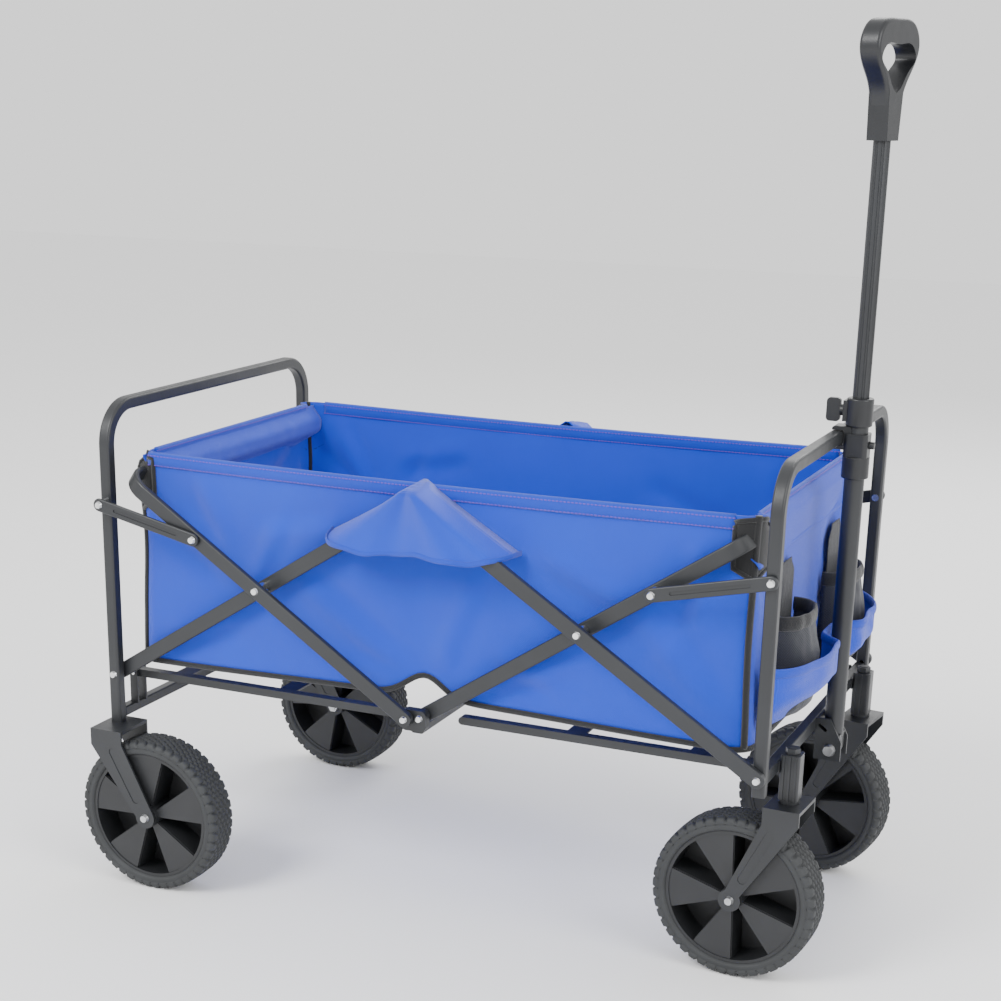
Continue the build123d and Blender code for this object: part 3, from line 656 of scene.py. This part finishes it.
# ---- black piping along the bottom and up the corners ----------------------------------------------
bottom = [wall_point(place, 0.0) + normal_at(place) * 0.0018 for place in plan]
bottom_mesh = tube_mesh("piping_bottom", bottom, oval(0.0021, 0.0032), closed=True)
sewn("piping_bottom", bottom_mesh, black_tape)
piping_steps = 40
slot_rows, slot_reach = 12, 4  # cells down, and cells either side of the corner
for wall_x, end_name in ((rear_at, "rear"), (front_at, "front")):
    for side, hand in ((-1, "right"), (1, "left")):
        corner_index = nearest(wall_x, side * half_wide)
        place = plan[corner_index]
        normal = normal_at(place)
        path = [wall_point(place, k / piping_steps) + normal * 0.0012 for k in range(piping_steps + 1)]
        label = f"piping_{end_name}_{hand}"
        mesh = tube_mesh(label, path, oval(0.0040, 0.0030), up=normal)
        sewn(label, mesh, black_tape)
        # the dark bound slot where the hoop goes in
        rows = []
        for down in range(slot_rows + 1):
            row = []
            for step in range(-slot_reach, slot_reach + 1):
                place = plan[(corner_index + step) % len(plan)]
                narrow = 1 - 0.25 * abs(step) / slot_reach
                high = 0.985 - 0.26 * down / slot_rows * narrow - 0.012 * (step / slot_reach) ** 2
                row.append(wall_point(place, high) + normal_at(place) * 0.0016)
            rows.append(row)
        label = f"corner_slot_{end_name}_{hand}"
        mesh = grid_mesh(label, rows, lambda r, c: (c * 0.006, r * 0.005))
        sewn(label, mesh, black_tape, cloth_thick)
        right_edge = [row[-1] for row in rows[1:]]
        left_edge = [row[0] for row in rows[-2:0:-1]]
        border = rows[0] + right_edge + rows[-1][-2::-1] + left_edge
        label = f"corner_binding_{end_name}_{hand}"
        mesh = tube_mesh(label, border, oval(0.0022, 0.0028), closed=True)
        sewn(label, mesh, black_tape)

# ---- triangular flaps over the top centre joints ----------------------------------------------------
flap_middle = -0.012
flap_columns, flap_rows = 56, 30
flap_drop = 0.067
flap_reach = 0.0475  # how far the joint behind it holds the flap out
for side, hand in ((-1, "right"), (1, "left")):
    rows = []
    for r in range(flap_rows + 1):
        v = r / flap_rows
        half = 0.002 + 0.110 * v
        row = []
        for c in range(flap_columns + 1):
            u = -1 + 2 * c / flap_columns
            tent = (1 - abs(u) ** 14) * ease(v / 0.10)
            pleats = 0.0030 * sin(u * 6.5 + 0.6 * side) + 0.0008 * sin(u * 15.0 + 1.1) * v
            reach = flap_reach + (0.0030 * v + 0.0010) * pleats / 0.0038
            wave = (0.0026 * sin(u * 6.0 + 1.2) + 0.0008 * sin(u * 17.0)) * v * v
            droop = 0.005 * v * v * (1 - u * u)
            y = half_wide + 0.0012 + tent * reach
            z = rim_at + 0.003 * (1 - v) ** 4 - flap_drop * v - droop + wave
            row.append(Vector((flap_middle + u * half, side * y, z)))
        rows.append(row)
    label = f"joint_flap_{hand}"
    mesh = grid_mesh(label, rows, lambda r, c: (c * 0.004, r * 0.0026))
    flap = sewn(label, mesh, blue_cloth, 0.0013)
    hem_path = [p + Vector((0, side * 0.0002, 0.001)) for p in rows[-1]]
    label = f"flap_hem_{hand}"
    hem = sewn(label, tube_mesh(label, hem_path, oval(0.0011, 0.0030)), blue_hem)

# ---- pockets on the front wall ---------------------------------------------------------------------
pocket_low, pocket_high = (Vector(corner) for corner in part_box("front_pockets"))
cup_y = 0.105
cup_low, cup_high = pocket_low.z, pocket_high.z
cup_reach, cup_half = 0.0405, 0.0445
cup_columns, cup_rows, foot_rows = 40, 24, 7
panel_half, panel_tall = 0.030, 0.078
panel_columns, panel_rows = 16, 14
on_wall = front_at + 0.0014

for side, hand in ((-1, "right"), (1, "left")):
    rows = []
    for r in range(cup_rows + 1):
        v = r / cup_rows
        depth = cup_reach * (0.80 + 0.20 * sin(pi * min(1, v * 1.1)))
        half = cup_half * (0.94 + 0.06 * v)
        if v < 0.12:
            depth *= 0.55 + 0.45 * (v / 0.12) ** 0.5
        row = []
        for c in range(cup_columns + 1):
            angle = pi * c / cup_columns
            dent = 0.0014 * noise.noise(Vector((c * 0.35, r * 0.3, side * 3.0)))
            x = on_wall + depth * sin(angle) ** 0.75 + dent
            y = side * cup_y - half * cos(angle)
            row.append(Vector((x, y, cup_low + (cup_high - cup_low) * v)))
        rows.append(row)
    label = f"cup_mesh_{hand}"
    mesh = grid_mesh(label, rows, lambda r, c: (c * 0.0035, r * 0.0044))
    cup = sewn(label, mesh, cup_mesh, 0.0009)
    if hand == "right":
        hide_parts("front_pockets")
    label = f"cup_rim_{hand}"
    rim = sewn(label, tube_mesh(label, rows[-1], oval(0.0026, 0.0080)), black_tape)
    inmost = Vector((on_wall, side * cup_y, cup_low))
    foot_grid = [[inmost.lerp(p, 1 - r / foot_rows) for p in rows[0]] for r in range(foot_rows + 1)]
    label = f"cup_foot_{hand}"
    mesh = grid_mesh(label, foot_grid, lambda r, c: (c * 0.0035, r * 0.004))
    foot = sewn(label, mesh, black_tape, 0.001)
    # black panel sewn to the wall behind the cup, narrower at its top
    rows = []
    for r in range(panel_rows + 1):
        v = r / panel_rows
        narrow = 1 - 0.45 * ease((v - 0.75) / 0.25)
        row = []
        for c in range(panel_columns + 1):
            ripple = 0.0008 * noise.noise(Vector((c * 0.4, r * 0.4, side)))
            y = side * cup_y + panel_half * (-1 + 2 * c / panel_columns) * narrow
            row.append(Vector((front_at + 0.0022 + ripple, y, cup_high - 0.02 + panel_tall * v)))
        rows.append(row)
    label = f"cup_panel_{hand}"
    mesh = grid_mesh(label, rows, lambda r, c: (c * 0.0065, r * 0.014))
    panel = sewn(label, mesh, cup_mesh, 0.001)

pocket_foot, pocket_tall, pocket_half = cup_low + 0.004, 0.058, 0.188
pocket_columns, pocket_rows = 60, 16
rows = []
for r in range(pocket_rows + 1):
    v = r / pocket_rows
    row = []
    for c in range(pocket_columns + 1):
        t = c / pocket_columns
        y = pocket_half * (-1 + 2 * t)
        pouch = min(1.0, 1.25 * sin(pi * t) ** 0.4) * (0.020 + 0.030 * ease(v / 0.55))
        ripple = 0.0020 * sin(t * 31) * v + 0.002 * noise.noise(Vector((t * 9, v * 5, 1.7)))
        behind_tube = 0.0240 + 0.0320 * ease((abs(y) - 0.016) / 0.042)
        reach = min(max(pouch + ripple, 0.001), behind_tube)
        row.append(Vector((front_at + 0.0015 + reach, y, pocket_foot + pocket_tall * v)))
    rows.append(row)
mesh = grid_mesh("lower_pocket", rows, lambda r, c: (c * 0.0063, r * 0.0045))
pocket = sewn("lower_pocket", mesh, blue_cloth, 0.0013)
mesh = tube_mesh("lower_pocket_edge", rows[-1], oval(0.0022, 0.0055))
edge = sewn("lower_pocket_edge", mesh, blue_hem)

# ---- tyres ---------------------------------------------------------------------------------------------
tread_pitch = tau / 46
tyre_half = 0.0224
tyre_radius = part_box("rear_tyre_right")[1][2] / 2
shoulder = 0.005
shoulder_steps, crown_steps = 8, 15


def tread_depth(angle, across):
    """Depth below the crown: staggered diamonds in the middle, blocks that scallop the shoulders."""
    phase = angle / tread_pitch
    if abs(across) < 0.0150:
        a = (phase + across / 0.0075) % 1.0
        b = (phase - across / 0.0075) % 1.0
        return 0.0024 * (1 - ease((min(abs(a - 0.5), abs(b - 0.5)) - 0.05) / 0.09))
    block = abs(((phase + (0.5 if across > 0 else 0.0)) % 1.0) - 0.5)
    return 0.0030 * (1 - ease((block - 0.06) / 0.10))


# half the tyre's section, as (place across, radius): bead, side wall with its groove, shoulder, crown
profile = [
    (-0.0195, 0.0761), (-0.0206, 0.0768), (-0.0219, 0.0778), (-tyre_half, 0.0792), (-tyre_half, 0.0812),
    (-tyre_half + 0.0006, 0.0822), (-tyre_half + 0.0006, 0.0838), (-tyre_half, 0.0846),
]
for step in range(shoulder_steps + 1):
    turn = pi / 2 * step / shoulder_steps
    profile.append((-tyre_half + shoulder * (1 - cos(turn)), tyre_radius - shoulder * (1 - sin(turn))))
profile += [(-tyre_half + shoulder + k * 0.00112, tyre_radius) for k in range(1, crown_steps + 1)]
section = profile + [(-across, radius) for across, radius in profile[::-1]]
tread_steps = 460

wheels = [f"{end}_wheel_spin_{hand}" for end in ("rear", "front") for hand in ("right", "left")]
for wheel in wheels:
    joint = joints[wheel]
    hub = Vector(joint["pos_m"])
    axle = Vector(joint["axis"]).normalized()
    up = Vector((0, 0, 1))
    forward = axle.cross(up).normalized()
    rows = []
    for k in range(tread_steps):
        angle = tau * k / tread_steps
        radial = forward * cos(angle) + up * sin(angle)
        row = []
        for across, radius in section:
            crown = ease((radius - 0.0845) / 0.0030)
            crowned = radius - 0.0008 * (across / tyre_half) ** 2 * crown
            row.append(hub + axle * across + radial * (crowned - tread_depth(angle, across) * crown))
        rows.append(row)
    rows.append(rows[0])
    tyre_name = wheel.replace("_wheel_spin", "_tyre")
    mesh = grid_mesh(tyre_name + "_tread", rows, lambda r, c: (r * 0.00127, c * 0.002))
    merge_doubles(mesh, 0.00001)
    tread = new_object(tyre_name + "_tread", mesh, tyre_finish, joint["child"])
    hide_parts(tyre_name)

# ---- floor, light, camera ----------------------------------------------------------------------------------
floor_half = 8
corners = [(-floor_half, -floor_half, 0), (floor_half, -floor_half, 0), (floor_half, floor_half, 0),
           (-floor_half, floor_half, 0)]
floor_mesh = bpy.data.meshes.new("floor")
floor_mesh.from_pydata(corners, [], [(0, 1, 2, 3)])
ground = bpy.data.objects.new("floor", floor_mesh)
bpy.context.scene.collection.objects.link(ground)
pale = bpy.data.materials.new("pale_floor")
pale.use_nodes = True
pale.node_tree.nodes["Principled BSDF"].inputs["Base Color"].default_value = (0.95, 0.95, 0.95, 1)
pale.node_tree.nodes["Principled BSDF"].inputs["Roughness"].default_value = 0.9
floor_mesh.materials.append(pale)

world = bpy.data.worlds.new("studio")
world.use_nodes = True
world.node_tree.nodes["Background"].inputs["Color"].default_value = (1, 1, 1, 1)
world.node_tree.nodes["Background"].inputs["Strength"].default_value = 1.3
bpy.context.scene.world = world


def area_light(name, place, target, size, power):
    """A round soft light aimed at a point of the wagon."""
    light = bpy.data.lights.new(name, "AREA")
    light.shape = "DISK"
    light.size = size
    light.energy = power
    obj = bpy.data.objects.new(name, light)
    obj.location = place
    aim = Vector(target) - Vector(place)
    obj.rotation_euler = aim.to_track_quat("-Z", "Y").to_euler()
    bpy.context.scene.collection.objects.link(obj)


area_light("key", (-1.2, -2.6, 2.6), (0, 0, 0.35), 1.5, 105)
area_light("fill", (2.6, -1.2, 1.8), (0, 0, 0.35), 2.0, 50)
area_light("back", (0.4, 2.6, 2.2), (0, 0, 0.4), 2.0, 40)

lens = bpy.data.cameras.new("camera")
lens.sensor_width = 36.0
lens.lens = 67.686
lens.shift_x = 0.0392
lens.shift_y = 0.2167
lens.clip_end = 50.0
camera = bpy.data.objects.new("camera", lens)
azimuth, elevation, roll = radians(24.1), radians(18.57), radians(0.91)
place = Vector((0.83371, -1.99462, 0.91593))
back = Vector((sin(azimuth) * cos(elevation), -cos(azimuth) * cos(elevation), sin(elevation)))
right = Vector((0, 0, 1)).cross(back).normalized()
up = back.cross(right)
turned_right = right * cos(roll) + up * sin(roll)
turned_up = up * cos(roll) - right * sin(roll)
camera.matrix_world = Matrix((
    (turned_right.x, turned_up.x, back.x, place.x),
    (turned_right.y, turned_up.y, back.y, place.y),
    (turned_right.z, turned_up.z, back.z, place.z),
    (0, 0, 0, 1),
))
bpy.context.scene.collection.objects.link(camera)
bpy.context.scene.camera = camera
